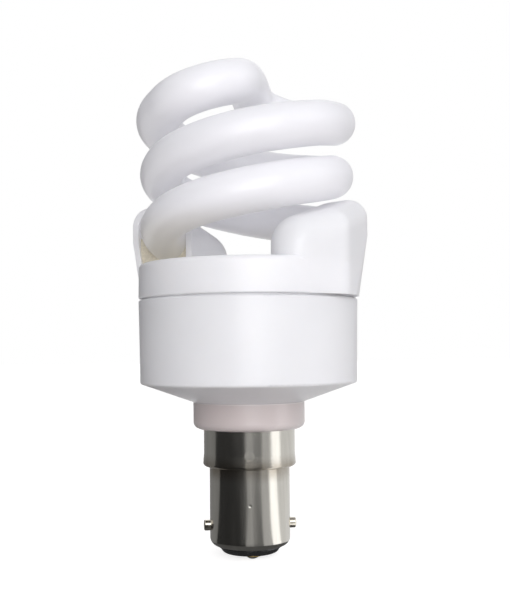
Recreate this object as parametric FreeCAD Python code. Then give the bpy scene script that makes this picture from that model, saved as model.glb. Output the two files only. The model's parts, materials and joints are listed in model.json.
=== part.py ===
import FreeCAD, Part
import math
import os

from FreeCAD import Vector

os.makedirs("parts", exist_ok=True)

# Sizes are in millimetres and degrees. The origin lies on the lamp's axis, level with the bayonet pins.
# +Z points up to the glass spiral and +X along the right-hand bayonet pin.

# Bayonet cap
shell_radius = 7.55
sheet = 0.3
shell_below_pins = 3.8
shell_length = 14.9
rim_round = 1.5
skirt_step = 1.05
skirt_length = 7.0
skirt_flare = 0.2
flare_height = 1.8
step_round = 0.6
pin_radius = 1.0
pin_reach = 1.15
pin_tip_round = 0.25
shank_radius = 0.65
rivet_thick = 0.3
rivet_radius = 1.3
fit_gap = 0.03
dent_count = 4
dent_angle = -97.0
dent_radius = 0.9
dent_depth = 0.35
dent_above_step = 2.6
dimple_radius = 0.5
dimple_depth = 0.12
dimple_above_pins = 4.6

# Insulator and contacts
insulator_inset = 1.6
insulator_gap = 0.05
insulator_flange = 1.6
insulator_step = 0.7
insulator_inside = 3.4
ring_drop = 0.4
ring_width = 0.45
bowl_drop = 1.35
bowl_round = 0.9
contact_radius = 1.75
contact_margin = 0.35
contact_thick = 0.45
eyelet_radius = 0.75
eyelet_wall = 0.25
solder_radius = 1.35
solder_height = 0.65

# Lower housing
housing_radius = 20.5
housing_draft = 0.2
wall = 1.5
collar_step = 1.9
collar_length = 5.0
collar_round = 1.3
cone_height = 3.55
side_height = 15.45
fold_round = 0.5
neck_gap = 0.05
neck_wall = 1.2
neck_short = 0.9
neck_round = 0.2
seam_chamfer = 0.3
rib_count = 8
rib_thick = 1.0
rib_reach = 1.6
rib_angle = 10.0

# Upper cover
seam_gap = 0.3
seam_depth = 0.7
cover_height = 6.4
cover_draft = 0.1
cover_round = 0.9
lip_wall = 1.2
lip_gap = 0.12
lip_round = 0.3
lip_above_board = 0.2
deck_thick = 1.4
hook_count = 4
hook_width = 5.0
hook_height = 1.4
hook_reach = 0.5
hook_below_seam = 3.0
hook_angle = 32.0

# Glass spiral
tube_radius = 3.83
helix_inset = 4.0
helix_pitch = 20.4
mouth_rise = 5.5
strand_turn = 415.8
crest_turn = 40.0
crest_lift = 3.9
helix_pieces = 8
crest_pieces = 3
tail_length = 6.9
tail_drop = 0.2
stem_radius = 1.1
stem_length = 2.2

# Hoods on the upper cover, each drawn with its mouth at angle 0 and its nose at a negative angle
hood_angle = -18.0
hood_wall = 1.1
hood_outer_play = 1.07
hood_inner_play = 0.67
hood_top_play = 0.8
nose_radius = 4.6
nose_angle = -46.0
corner_inset = 0.2
corner_angle = -27.5
corner_round = 4.5
dome_radius = 4.3
hood_slope = 0.3
dome_rings = 5
flare_inset = 1.7
crease_below_mouth = 0.7
crease_fall = 1.6

# Circuit board, its joints and the wires that end on it
board_gap = 0.8
board_thick = 1.6
board_below_seam = 5.6
hole_play = 0.15
lead_radius = 0.3
lead_proud = 0.7
joint_spread = 0.5
joint_height = 0.5
joint_rim = 0.1
post_side = 0.8
post_height = 5.0
post_tail = 0.4
post_inset = 2.7
post_angle = -43.0
post_spacing = 2.4
tube_lead_radius = 0.25
wrap_height = 1.5
wrap_below_top = 0.6
cement_below_mouth = 3.2
cement_behind_mouth = 5.0
cap_lead_radius = 0.35
cap_lead_angles = (-16.0, -118.0)
cap_lead_bend = 6.0

# Fusible resistor and its sleeve on the first cap lead
fuse_radius = 0.8
fuse_length = 6.0
fuse_above_bend = 4.0
sleeve_wall = 0.25
sleeve_overhang = 1.5

# Smoothing capacitor, held upright on the axis by its leads
can_room = 3.05
can_length = 13.0
can_above_step = 2.0
can_wall = 0.3
can_round = 0.6
seal_height = 1.6
can_lead_spacing = 3.0
groove_depth = 0.35

# Places on the board are shares of its radius, so that they spread out with it.

# Choke with a ferrite core of two E-shaped halves
choke_place = (-0.495, 0.1)
core_width = 10.0
core_height = 8.0
core_depth = 4.8
core_leg = 2.0
core_middle = 3.0
core_air_gap = 0.2
bobbin_wall = 0.5
bobbin_gap = 0.1
flange_reach = 1.5
choke_lead_spacing = 7.0

# Drive transformer on a ring core
ring_place = (0.56, 0.225)
ring_outer = 3.4
ring_inner = 1.8
ring_height = 3.2
winding_thick = 0.7
winding_angles = (90.0, 210.0, 330.0)
winding_spans = (70.0, 50.0, 50.0)
winding_lead_share = 0.3

# Noise filter inductor on a drum core
drum_place = (-0.45, -0.4)
drum_radius = 3.0
drum_waist = 1.4
drum_height = 6.5
drum_flange = 1.2
drum_winding = 2.6
drum_lead_spacing = 4.0

# Small parts that hang under the board
part_clearance = 0.6
transistor_places = ((0.19, -0.55), (0.47, -0.3))
transistor_radius = 2.3
transistor_flat = 1.4
transistor_height = 4.6
transistor_drop = 1.8
transistor_lead_spacing = 1.7
diode_share = 0.825
diode_angles = (-78.0, -62.0, -24.0, -9.0)
diode_radius = 1.1
diode_length = 4.4
resistor_places = ((-0.82, -0.2), (-0.76, -0.44), (0.52, 0.59), (-0.33, 0.7))
resistor_radius = 1.1
resistor_waist = 0.9
resistor_length = 5.6
resistor_end = 1.3
trigger_place = (-0.56, 0.7)
trigger_radius = 0.9
trigger_length = 3.6
return_offset = 1.6
return_drop = 0.9

# Box capacitors, each with its place, width, depth, height and the spacing of its leads
capacitor_round = 0.4
tube_capacitor_place = (0.075, 0.645)
tube_capacitor_width = 9.0
tube_capacitor_depth = 4.4
tube_capacitor_height = 7.0
tube_capacitor_spacing = 7.0
coupling_capacitor_place = (-0.165, -0.78)
coupling_capacitor_width = 6.6
coupling_capacitor_depth = 3.0
coupling_capacitor_height = 6.0
coupling_capacitor_spacing = 5.0
start_capacitor_place = (0.08, 0.3)
start_capacitor_width = 4.6
start_capacitor_depth = 2.6
start_capacitor_height = 4.4
start_capacitor_spacing = 2.5

# Radii and heights that follow from the sizes above
skirt_radius = shell_radius + skirt_step
insulator_radius = shell_radius - insulator_inset
contact_place = insulator_radius - ring_width - contact_margin - contact_radius
neck_radius = skirt_radius - sheet - neck_gap
neck_bore = neck_radius - neck_wall
collar_radius = skirt_radius + collar_step
cup_radius = housing_radius - wall
board_radius = cup_radius - board_gap
helix_radius = housing_radius - helix_inset
tail_turn = math.degrees(tail_length / helix_radius)
post_place = helix_radius - post_inset
can_radius = neck_bore - can_room
cap_lead_place = neck_bore - can_room / 2
rim_z = -shell_below_pins
step_z = rim_z + shell_length
skirt_top_z = step_z + skirt_length
collar_top_z = skirt_top_z + collar_length
fold_z = collar_top_z + cone_height
seam_z = fold_z + side_height
cover_z = seam_z + seam_gap
deck_z = cover_z + cover_height
mouth_z = deck_z + mouth_rise
hood_top_z = mouth_z + tube_radius + hood_top_play + hood_wall
board_z = seam_z - board_below_seam
board_top_z = board_z + board_thick
full_turn = 360.0
half_turn = 180.0
quarter_turn = 90.0
same_point = 0.0001
up = Vector(0, 0, 1)


def polar(radius, angle, z=0.0):
    """Point at a radius and an angle round the lamp's axis."""
    bearing = math.radians(angle)
    return Vector(radius * math.cos(bearing), radius * math.sin(bearing), z)


def section(corners):
    """Flat face in the XZ plane from its corners; a third number in a corner is its rounding."""
    points = [Vector(corner[0], 0, corner[1]) for corner in corners]
    bends = []
    for index, corner in enumerate(points):
        back = (points[index - 1] - corner).normalize()
        ahead = (points[(index + 1) % len(points)] - corner).normalize()
        rounding = corners[index][2] if len(corners[index]) > 2 else 0
        half = back.getAngle(ahead) / 2
        run = rounding / math.tan(half)
        middle = corner + (back + ahead).normalize() * (rounding / math.sin(half) - rounding)
        bends.append((corner + back * run, middle, corner + ahead * run))
    edges = []
    for before, bend in zip([bends[-1]] + bends, bends):
        if (bend[0] - before[2]).Length > same_point:
            edges.append(Part.LineSegment(before[2], bend[0]).toShape())
        if (bend[2] - bend[0]).Length > same_point:
            edges.append(Part.Arc(*bend).toShape())
    return Part.Face(Part.Wire(edges))


def turned_solid(corners):
    """Solid turned about the lamp's axis from the corners of its half section."""
    return section(corners).revolve(Vector(0, 0, 0), up, full_turn)


def cylinder(radius, length, base, direction=up):
    return Part.makeCylinder(radius, length, base, direction)


def slab(low_z, high_z, radius):
    """Upright cylinder on the lamp's axis between two heights."""
    return cylinder(radius, high_z - low_z, Vector(0, 0, low_z))


def box(size_x, size_y, size_z, centre_x, centre_y, low_z):
    """Box given by its size, its centre in plan and its lowest height."""
    return Part.makeBox(size_x, size_y, size_z, Vector(centre_x - size_x / 2, centre_y - size_y / 2, low_z))


def opposite(shape):
    """Copy of a shape turned half way round the lamp's axis."""
    return turned(shape, half_turn)


def turned(shape, angle):
    """Copy of a shape turned about the lamp's axis."""
    moved = shape.copy()
    moved.rotate(Vector(0, 0, 0), up, angle)
    return moved


def tube_legs(points):
    """Straight runs and tangent arcs of a rounded path through the corners of a polyline."""
    legs = []
    here = points[0]
    last = len(points) - 2
    for index in range(1, last + 1):
        corner = points[index]
        back = points[index - 1] - corner
        ahead = points[index + 1] - corner
        back_share = 1 if index == 1 else 1 / 2
        ahead_share = 1 if index == last else 1 / 2
        run = min(back.Length * back_share, ahead.Length * ahead_share)
        back.normalize()
        ahead.normalize()
        half = back.getAngle(ahead) / 2
        start = corner + back * run
        centre = corner + (back + ahead).normalize() * (run / math.cos(half))
        axis = (back * -1).cross(ahead).normalize()
        if (start - here).Length > same_point:
            legs.append(("line", start - here, None, None))
        legs.append(("arc", centre, axis, half_turn - 2 * math.degrees(half)))
        here = corner + ahead * run
    if (points[-1] - here).Length > same_point:
        legs.append(("line", points[-1] - here, None, None))
    return legs


def flat_end(ring, outward):
    return [Part.Face(Part.Wire(ring))]


def stem_end(ring, outward):
    """Domed end of the glass with the short stem through which it was pumped out."""
    centre = ring.Curve.Center
    rim = ring.Vertexes[0].Point
    across = (rim - centre).normalize()
    height = math.sqrt(tube_radius ** 2 - stem_radius ** 2)
    climb = math.atan2(height, stem_radius) / 2
    on_dome = centre + (across * math.cos(climb) + outward * math.sin(climb)) * tube_radius
    stem_foot = centre + across * stem_radius + outward * height
    stem_top = stem_foot + outward * stem_length
    tip_centre = centre + outward * (height + stem_length)
    on_tip = tip_centre + (across + outward).normalize() * stem_radius
    tip = tip_centre + outward * stem_radius
    edges = (
        Part.Arc(rim, on_dome, stem_foot).toShape(),
        Part.LineSegment(stem_foot, stem_top).toShape(),
        Part.Arc(stem_top, on_tip, tip).toShape(),
    )
    return [edge.revolve(centre, outward, full_turn) for edge in edges]


def tube_along(points, radius, end=flat_end):
    """Solid round tube whose centre line rounds every corner of a polyline."""
    ring = Part.Circle(points[0], points[1] - points[0], radius).toShape()
    faces = end(ring, (points[0] - points[1]).normalize())
    for kind, place, axis, angle in tube_legs(points):
        next_ring = ring.copy()
        if kind == "line":
            faces.append(ring.extrude(place))
            next_ring.translate(place)
        else:
            faces.append(ring.revolve(place, axis, angle))
            next_ring.rotate(place, axis, angle)
        ring = next_ring
    faces += end(ring, (points[-1] - points[-2]).normalize())
    skin = Part.makeCompound(faces)
    skin.sewShape()
    return Part.Solid(skin.Shells[0])


def save(name, *shapes):
    """Write one node; several shapes are kept as separate solids."""
    whole = shapes[0] if len(shapes) == 1 else Part.makeCompound(list(shapes))
    whole.exportStep("parts/" + name + ".step")


def skirt_wall_z():
    """Height where the flared foot of the skirt meets its plain wall."""
    return step_z + step_round + flare_height


def punches(radius, depth):
    """Round punches that reach a depth into the skirt, one for each dent."""
    shapes = []
    for index in range(dent_count):
        angle = dent_angle + index * full_turn / dent_count
        inner_end = polar(skirt_radius - depth, angle, step_z + dent_above_step)
        shapes.append(cylinder(radius, 2 * depth, inner_end, polar(1, angle)))
    return shapes


def cap_shell():
    """Drawn cap: turned-in rim, plain shell and a wider skirt crimped to the neck by punched dents."""
    inner = shell_radius - sheet
    flared = skirt_radius + skirt_flare
    hole = insulator_radius + insulator_gap
    shell = turned_solid(
        [
            (hole, rim_z),
            (shell_radius, rim_z, rim_round),
            (shell_radius, step_z),
            (flared, step_z, step_round),
            (skirt_radius, skirt_wall_z()),
            (skirt_radius, skirt_top_z),
            (skirt_radius - sheet, skirt_top_z),
            (skirt_radius - sheet, skirt_wall_z()),
            (flared - sheet, step_z + sheet, step_round - sheet),
            (inner, step_z + sheet),
            (inner, rim_z + sheet, rim_round - sheet),
            (hole, rim_z + sheet),
        ]
    )
    for side in (0, half_turn):
        shell = shell.cut(cylinder(shank_radius + fit_gap, shell_radius, Vector(0, 0, 0), polar(1, side)))
    skirt_core = cylinder(skirt_radius - sheet / 2, skirt_length, Vector(0, 0, step_z))
    for bump in punches(dent_radius + sheet, dent_depth + sheet):
        shell = shell.fuse(bump.common(skirt_core))
    for punch in punches(dent_radius, dent_depth):
        shell = shell.cut(punch)
    mark_centre = polar(shell_radius + dimple_radius - dimple_depth, dent_angle, dimple_above_pins)
    return shell.cut(Part.makeSphere(dimple_radius, mark_centre))


def bayonet_pin():
    """Right-hand bayonet pin, riveted through the shell from outside."""
    inner = shell_radius - sheet
    outward = Vector(1, 0, 0)
    foot = Vector(inner - rivet_thick, 0, 0)
    tip = cylinder(pin_radius, shell_radius + pin_reach, Vector(0, 0, 0), outward)
    tip = tip.makeFillet(pin_tip_round, [edge for edge in tip.Edges if edge.CenterOfMass.x > shell_radius])
    tip = tip.cut(slab(-2 * rivet_radius, 2 * rivet_radius, shell_radius))
    shank = cylinder(shank_radius, shell_radius + pin_reach / 2 - foot.x, foot, outward)
    head = cylinder(rivet_radius, rivet_thick + sheet, foot, outward)
    head = head.common(slab(-2 * rivet_radius, 2 * rivet_radius, inner))
    return tip.fuse([shank, head]).removeSplitter()


def insulator_top_z():
    return rim_z + sheet + insulator_inside


def contact_places():
    """The two contacts lie on the line square to the bayonet pins."""
    return [Vector(0, side * contact_place, rim_z - bowl_drop) for side in (-1, 1)]


def cap_insulator():
    """Pressed insulator seated on the turned-in rim, with a ring, a shallow bowl and two contact seats."""
    flange = shell_radius - sheet - insulator_gap
    floor_z = rim_z + sheet
    narrow = flange - insulator_step
    body = turned_solid(
        [
            (0, rim_z - bowl_drop),
            (insulator_radius - ring_width, rim_z - bowl_drop, bowl_round),
            (insulator_radius - ring_width, rim_z - ring_drop),
            (insulator_radius, rim_z - ring_drop, ring_drop / 2),
            (insulator_radius, floor_z),
            (flange, floor_z, rim_round - sheet),
            (flange, floor_z + insulator_flange),
            (narrow, floor_z + insulator_flange),
            (narrow, insulator_top_z()),
            (0, insulator_top_z()),
        ]
    )
    for place in contact_places():
        body = body.cut(cylinder(contact_radius + fit_gap, contact_thick, place))
        body = body.cut(cylinder(eyelet_radius + fit_gap, insulator_inside + bowl_drop + sheet, place))
    return body


def contact_plate(place):
    """Brass contact with its eyelet through the insulator."""
    disc = cylinder(contact_radius, contact_thick, place)
    length = insulator_top_z() - place.z + contact_thick
    tube = cylinder(eyelet_radius, length, place)
    bore = cylinder(eyelet_radius - eyelet_wall, length, place)
    return disc.fuse(tube).cut(bore).removeSplitter()


def solder_dome(place):
    """Flattened drop of solder that closes the eyelet from below."""
    radius = (solder_radius ** 2 + solder_height ** 2) / (2 * solder_height)
    ball = Part.makeSphere(radius, place + up * (radius - solder_height))
    drop = ball.common(cylinder(solder_radius, solder_height, place - up * solder_height))
    plug = cylinder(eyelet_radius - eyelet_wall - fit_gap, contact_thick, place)
    return drop.fuse(plug).removeSplitter()


def lower_housing():
    """Moulded cup: neck for the cap, collar, conical underside, straight wall with ribs for the board."""
    neck_low_z = step_z + sheet + neck_short
    fold = housing_radius - housing_draft
    body = turned_solid(
        [
            (neck_bore, neck_low_z),
            (neck_radius, neck_low_z, neck_round),
            (neck_radius, skirt_top_z),
            (collar_radius, skirt_top_z, collar_round),
            (collar_radius, collar_top_z),
            (fold, fold_z, fold_round),
            (housing_radius, seam_z, seam_chamfer),
            (cup_radius, seam_z),
            (fold - wall, fold_z + wall / 2, fold_round),
            (collar_radius - wall, collar_top_z + wall / 2, collar_round),
            (neck_bore, skirt_top_z + wall),
        ]
    )
    for dent in punches(dent_radius + sheet + neck_gap, dent_depth + sheet + neck_gap):
        body = body.cut(dent)
    for index in range(rib_count):
        body = body.fuse(turned(board_rib(), index * full_turn / rib_count + rib_angle))
    for hook in snap_hooks(lip_gap):
        body = body.cut(hook)
    return body.removeSplitter()


def board_rib():
    """Upright rib inside the cup; the board rests on its top."""
    rib = box(rib_reach + wall / 2, rib_thick, board_z - fold_z - wall, 0, 0, fold_z + wall)
    rib.translate(Vector(cup_radius - (rib_reach - wall / 2) / 2, 0, 0))
    return rib


def snap_hooks(play):
    """Hooks on the cover's lip, or with a play the pockets in the cup that take them."""
    lip = cup_radius - lip_gap
    low_z = seam_z - hook_below_seam - play
    face = section(
        [
            (lip - lip_wall / 2, low_z),
            (lip, low_z),
            (lip + hook_reach + play, low_z + hook_height / 2),
            (lip + hook_reach + play, low_z + hook_height + 2 * play),
            (lip - lip_wall / 2, low_z + hook_height + 2 * play),
        ]
    )
    width = hook_width + 2 * play
    face.translate(Vector(0, -width / 2, 0))
    hook = face.extrude(Vector(0, width, 0))
    return [turned(hook, hook_angle + index * full_turn / hook_count) for index in range(hook_count)]


def rounded_route(centre, radius, start, turn, pieces):
    """Corners of a polyline whose rounded path follows an arc seen from above."""
    step = turn / pieces
    reach = radius / math.cos(math.radians(step / 2))
    return [centre + polar(reach, start + step * (index + 0.5)) for index in range(pieces)]


def strand_route():
    """Corners of one strand, from its end inside a hood to just before the top of the spiral."""
    rise = helix_pitch / full_turn
    tail_z = mouth_z - rise * tail_turn
    wound = strand_turn + tail_turn
    route = [polar(helix_radius, -tail_turn, tail_z - tail_drop)]
    turns = rounded_route(Vector(0, 0, 0), helix_radius, -tail_turn, wound, helix_pieces)
    for index, corner in enumerate(turns):
        corner.z = tail_z + rise * wound * (index + 0.5) / helix_pieces
        route.append(corner)
    share = math.sin(math.radians(crest_turn))
    bend = helix_radius * share / (1 + share)
    bend_turn = crest_turn + quarter_turn
    centre = polar(helix_radius - bend, strand_turn)
    for index, corner in enumerate(rounded_route(centre, bend, strand_turn, bend_turn, crest_pieces)):
        corner.z = mouth_z + rise * strand_turn + crest_lift * (index + 0.5) / crest_pieces
        route.append(corner)
    return route


def glass_spiral():
    """One tube wound up from one hood, across the axis at the top and down to the other hood."""
    half_route = strand_route()
    first = half_route[-2]
    second = half_route[-1]
    slope = (second.z - first.z) / (second - first).Length
    top_z = second.z + slope * math.hypot(second.x, second.y)
    other_half = [Vector(-corner.x, -corner.y, corner.z) for corner in reversed(half_route)]
    spiral = tube_along(half_route + [Vector(0, 0, top_z)] + other_half, tube_radius, stem_end)
    return turned(spiral, hood_angle)


def tangent_point(outside, centre, radius, side):
    """Where a line from a point touches a circle, both seen from above."""
    towards = centre - outside
    angle = math.atan2(towards.y, towards.x) + side * math.asin(radius / towards.Length)
    return outside + polar(math.sqrt(towards.Length ** 2 - radius ** 2), math.degrees(angle))


def hood_outline(inset):
    """Plan of a hood: mouth, flank with a rounded corner, round nose and inner wall, drawn in by an inset."""
    outer_mouth = helix_radius + tube_radius + hood_outer_play + hood_wall
    inner_mouth = helix_radius - tube_radius - hood_inner_play - hood_wall
    nose = polar(housing_radius - nose_radius, nose_angle)
    outer = Vector(outer_mouth - inset, 0, 0)
    inner = Vector(inner_mouth + inset, 0, 0)
    corner = polar(outer_mouth - corner_inset - inset, corner_angle)
    radius = nose_radius - inset
    front = tangent_point(corner, nose, radius, 1)
    back = tangent_point(inner, nose, radius, -1)
    nose_tip = nose + ((front + back) / 2 - nose).normalize() * radius
    rounding = corner_round - inset
    to_mouth = (outer - corner).normalize()
    to_nose = (front - corner).normalize()
    half = to_mouth.getAngle(to_nose) / 2
    run = rounding / math.tan(half)
    middle = corner + (to_mouth + to_nose).normalize() * (rounding / math.sin(half) - rounding)
    return Part.Wire(
        [
            Part.LineSegment(inner, outer).toShape(),
            Part.LineSegment(outer, corner + to_mouth * run).toShape(),
            Part.Arc(corner + to_mouth * run, middle, corner + to_nose * run).toShape(),
            Part.LineSegment(corner + to_nose * run, front).toShape(),
            Part.Arc(front, nose_tip, back).toShape(),
            Part.LineSegment(back, inner).toShape(),
        ]
    )


def hood_block(inset, low_z):
    """Domed block over the hood's plan; its top slopes down from the mouth to the nose."""
    dome = dome_radius - inset
    spring_z = hood_top_z - inset - dome
    walls = Part.Face(hood_outline(inset)).extrude(up * (spring_z - low_z))
    walls.translate(up * low_z)
    rings = []
    for index in range(dome_rings + 1):
        climb = math.radians(quarter_turn * index / dome_rings)
        ring = hood_outline(inset + dome * (1 - math.cos(climb)))
        ring.translate(up * (spring_z + dome * math.sin(climb)))
        rings.append(ring)
    block = walls.fuse(Part.makeLoft(rings, True, False))
    mouth = polar(helix_radius, 0)
    along = (polar(housing_radius - nose_radius, nose_angle) - mouth).normalize()
    shear = FreeCAD.Matrix()
    shear.A31 = -hood_slope * along.x
    shear.A32 = -hood_slope * along.y
    shear.A34 = hood_slope * along.dot(mouth)
    return block.transformGeometry(shear).Solids[0]


def beyond_flank(inset):
    """What lies outside a hood's flank, which leans out from the seam to the crease under the dome."""
    outer_mouth = helix_radius + tube_radius + hood_outer_play + hood_wall
    foot = Vector(outer_mouth - flare_inset, 0, seam_z)
    crease = Vector(outer_mouth, 0, mouth_z - crease_below_mouth)
    corner = polar(outer_mouth - corner_inset, corner_angle, crease.z - crease_fall)
    normal = (corner - crease).cross(foot - crease).normalize()
    normal = normal * math.copysign(1, normal.x)
    reach = 2 * housing_radius
    across = Vector(0, 1, 0)
    upward = normal.cross(across).normalize()
    start = foot - normal * inset
    corners = []
    for side, end in ((-1, -1), (1, -1), (1, 1), (-1, 1), (-1, -1)):
        corners.append(start + across * (reach * side) + upward * (reach * end))
    return Part.Face(Part.makePolygon(corners)).extrude(normal * reach)


def hood_low_z():
    """Low enough for the sloped foot of a hood's block to stay under the seam all round."""
    return seam_z - hood_slope * 2 * housing_radius


def hood_body():
    """Outside of one hood, down to the foot of the cover."""
    block = hood_block(0, hood_low_z()).common(slab(cover_z, hood_top_z + dome_radius, 2 * housing_radius))
    return block.cut(beyond_flank(0))


def hood_hollow(inset):
    """Space inside one hood: wide above the deck, within the lip below it."""
    inside = hood_block(inset, hood_low_z()).cut(beyond_flank(inset))
    above = inside.common(slab(deck_z, hood_top_z + dome_radius, 2 * housing_radius))
    below = inside.common(slab(seam_z, deck_z, lip_inner()))
    return above, below


def lip_inner():
    return cup_radius - lip_gap - lip_wall


def upper_cover():
    """Moulded ring with a deck, a lip that snaps into the cup, and two hoods for the ends of the glass."""
    lip = cup_radius - lip_gap
    lip_low_z = board_top_z + lip_above_board
    cover = turned_solid(
        [
            (lip_inner(), lip_low_z),
            (lip, lip_low_z, lip_round),
            (lip, seam_z),
            (housing_radius - seam_depth, seam_z),
            (housing_radius - seam_depth, cover_z),
            (housing_radius, cover_z, seam_chamfer),
            (housing_radius - cover_draft, deck_z, cover_round),
            (0, deck_z),
            (0, deck_z - deck_thick),
            (lip_inner(), deck_z - deck_thick),
        ]
    )
    hood = turned(hood_body(), hood_angle)
    cover = cover.fuse([hood, opposite(hood)])
    for hook in snap_hooks(0):
        cover = cover.fuse(hook)
    for hollow in hood_hollow(hood_wall):
        space = turned(hollow, hood_angle)
        cover = cover.cut(space).cut(opposite(space))
    return cover.removeSplitter()


def tube_cement(glass):
    """Bead of cement that fills a hood round the end of the glass."""
    above, below = hood_hollow(hood_wall + fit_gap)
    above = above.common(slab(deck_z, mouth_z - cement_below_mouth, 2 * housing_radius))
    below = below.common(slab(deck_z - deck_thick, deck_z, lip_inner()))
    bead = above.fuse(below).removeSplitter()
    size = 2 * housing_radius
    behind_mouth = box(size, size, hood_top_z, housing_radius, -housing_radius - cement_behind_mouth, 0)
    return turned(bead.common(behind_mouth), hood_angle).cut(glass)


def lead_up(place, low_z, radius=lead_radius):
    """Straight lead from a height up through the board."""
    return cylinder(radius, board_top_z + lead_proud - low_z, Vector(place[0], place[1], low_z))


def on_board(share):
    """Place on the board from its shares of the board's radius."""
    return (share[0] * board_radius, share[1] * board_radius)


def places_beside(place, spacing, direction=(1, 0)):
    """Two places either side of a place, along a direction in plan."""
    half = spacing / 2
    return [(place[0] + side * direction[0], place[1] + side * direction[1]) for side in (-half, half)]


def part_top_z():
    """Height of the top of the bodies that hang under the board."""
    return board_z - part_clearance


def upright_edges(shape, length):
    return [edge for edge in shape.Edges if edge.BoundBox.ZLength > length]


def box_capacitor(place, width, depth, height, spacing):
    """Moulded capacitor that hangs under the board by two leads."""
    body = box(width, depth, height, place[0], place[1], part_top_z() - height)
    body = body.makeFillet(capacitor_round, upright_edges(body, height / 2))
    leads = [lead_up(spot, part_top_z() - lead_proud) for spot in places_beside(place, spacing)]
    return body.fuse(leads).removeSplitter()


def tube_capacitor():
    place = on_board(tube_capacitor_place)
    return box_capacitor(
        place, tube_capacitor_width, tube_capacitor_depth, tube_capacitor_height, tube_capacitor_spacing
    )


def coupling_capacitor():
    place = on_board(coupling_capacitor_place)
    return box_capacitor(
        place,
        coupling_capacitor_width,
        coupling_capacitor_depth,
        coupling_capacitor_height,
        coupling_capacitor_spacing,
    )


def start_capacitor():
    place = on_board(start_capacitor_place)
    return box_capacitor(
        place, start_capacitor_width, start_capacitor_depth, start_capacitor_height, start_capacitor_spacing
    )


def return_step(place):
    """How far round the board the returning lead of an upright part lies."""
    return Vector(-place[1], place[0], 0).normalize() * return_offset


def upright_places(place):
    away = return_step(place)
    return [place, (place[0] + away.x, place[1] + away.y)]


def upright_part(place, radius, length):
    """Part that stands on end under the board; its lower lead turns back up beside it."""
    low = Vector(place[0], place[1], part_top_z() - length)
    away = return_step(place)
    body = cylinder(radius, length, low)
    loop = low - up * return_drop
    high = low + away
    high.z = board_top_z + lead_proud
    wire = tube_along([low + up * lead_radius, loop, loop + away, high], lead_radius)
    return body.fuse([wire, lead_up(place, part_top_z() - lead_radius)]).removeSplitter()


def resistor(place):
    """Upright part with a waist between two thicker ends."""
    waist_length = resistor_length - 2 * resistor_end
    foot = Vector(place[0], place[1], part_top_z() - resistor_length + resistor_end)
    ring = cylinder(resistor_radius, waist_length, foot).cut(cylinder(resistor_waist, waist_length, foot))
    return upright_part(place, resistor_radius, resistor_length).cut(ring)


def transistor_lead_places(place):
    across = Vector(place[1], -place[0], 0).normalize() * transistor_lead_spacing
    return [(place[0] + step * across.x, place[1] + step * across.y) for step in (-1, 0, 1)]


def transistor(place):
    """Moulded half-round body with three leads, its flat towards the axis."""
    low_z = board_z - transistor_drop - transistor_height
    body = cylinder(transistor_radius, transistor_height, Vector(place[0], place[1], low_z))
    size = 2 * transistor_radius
    beyond_flat = box(size, size, transistor_height, transistor_flat + size / 2, 0, low_z)
    beyond_flat = turned(beyond_flat, math.degrees(math.atan2(-place[1], -place[0])))
    beyond_flat.translate(Vector(place[0], place[1], 0))
    high_z = low_z + transistor_height
    leads = [lead_up(spot, high_z - lead_radius) for spot in transistor_lead_places(place)]
    return body.cut(beyond_flat).fuse(leads).removeSplitter()


def can_top_z():
    return step_z + can_above_step + can_length


def capacitor_can():
    """Drawn can with a rolled groove that grips the seal; it is filled with its wound foil."""
    low_z = can_top_z() - can_length
    groove_z = can_top_z() - seal_height / 2
    inner = can_radius - can_wall
    return turned_solid(
        [
            (0, low_z),
            (can_radius, low_z, can_round),
            (can_radius, groove_z - groove_depth),
            (can_radius - groove_depth, groove_z),
            (can_radius, groove_z + groove_depth),
            (can_radius, can_top_z()),
            (inner, can_top_z()),
            (inner, groove_z + groove_depth),
            (inner - groove_depth, groove_z),
            (inner, groove_z - groove_depth),
            (inner, can_top_z() - seal_height),
            (0, can_top_z() - seal_height),
        ]
    )


def capacitor_seal():
    """Rubber seal pressed into the mouth of the can, pierced for the two leads."""
    groove_z = can_top_z() - seal_height / 2
    inner = can_radius - can_wall
    seal = turned_solid(
        [
            (0, can_top_z() - seal_height),
            (inner, can_top_z() - seal_height),
            (inner, groove_z - groove_depth),
            (inner - groove_depth, groove_z),
            (inner, groove_z + groove_depth),
            (inner, can_top_z() - can_wall),
            (0, can_top_z() - can_wall),
        ]
    )
    return seal.cut(Part.makeCompound(capacitor_leads()))


def capacitor_lead_places():
    return places_beside((0, 0), can_lead_spacing)


def capacitor_leads():
    return [lead_up(spot, can_top_z() - seal_height) for spot in capacitor_lead_places()]


def choke_low_z():
    return part_top_z() - core_height


def choke_window():
    """Clear width between the middle leg and an outer leg of the core."""
    return (core_width - 2 * core_leg - core_middle) / 2


def choke_core():
    """Two E-shaped halves with a small air gap between their legs."""
    x, y = on_board(choke_place)
    block = box(core_width, core_depth, core_height, x, y, choke_low_z())
    window_height = core_height - 2 * core_leg
    window_low_z = choke_low_z() + core_leg
    for side in (-1, 1):
        middle_x = x + side * (core_middle + choke_window()) / 2
        block = block.cut(box(choke_window(), core_depth, window_height, middle_x, y, window_low_z))
    gap_z = choke_low_z() + (core_height - core_air_gap) / 2
    return block.cut(box(core_width, core_depth, core_air_gap, x, y, gap_z))


def bobbin_sleeve(grow):
    """Upright block round the middle leg, larger than the leg's play by what it grows."""
    side = 2 * (bobbin_gap + grow)
    height = core_height - 2 * core_leg - 2 * bobbin_gap
    low_z = choke_low_z() + core_leg + bobbin_gap
    x, y = on_board(choke_place)
    return box(core_middle + side, core_depth + side, height, x, y, low_z)


def choke_lead_places():
    return places_beside(on_board(choke_place), choke_lead_spacing, (0, 1))


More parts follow.
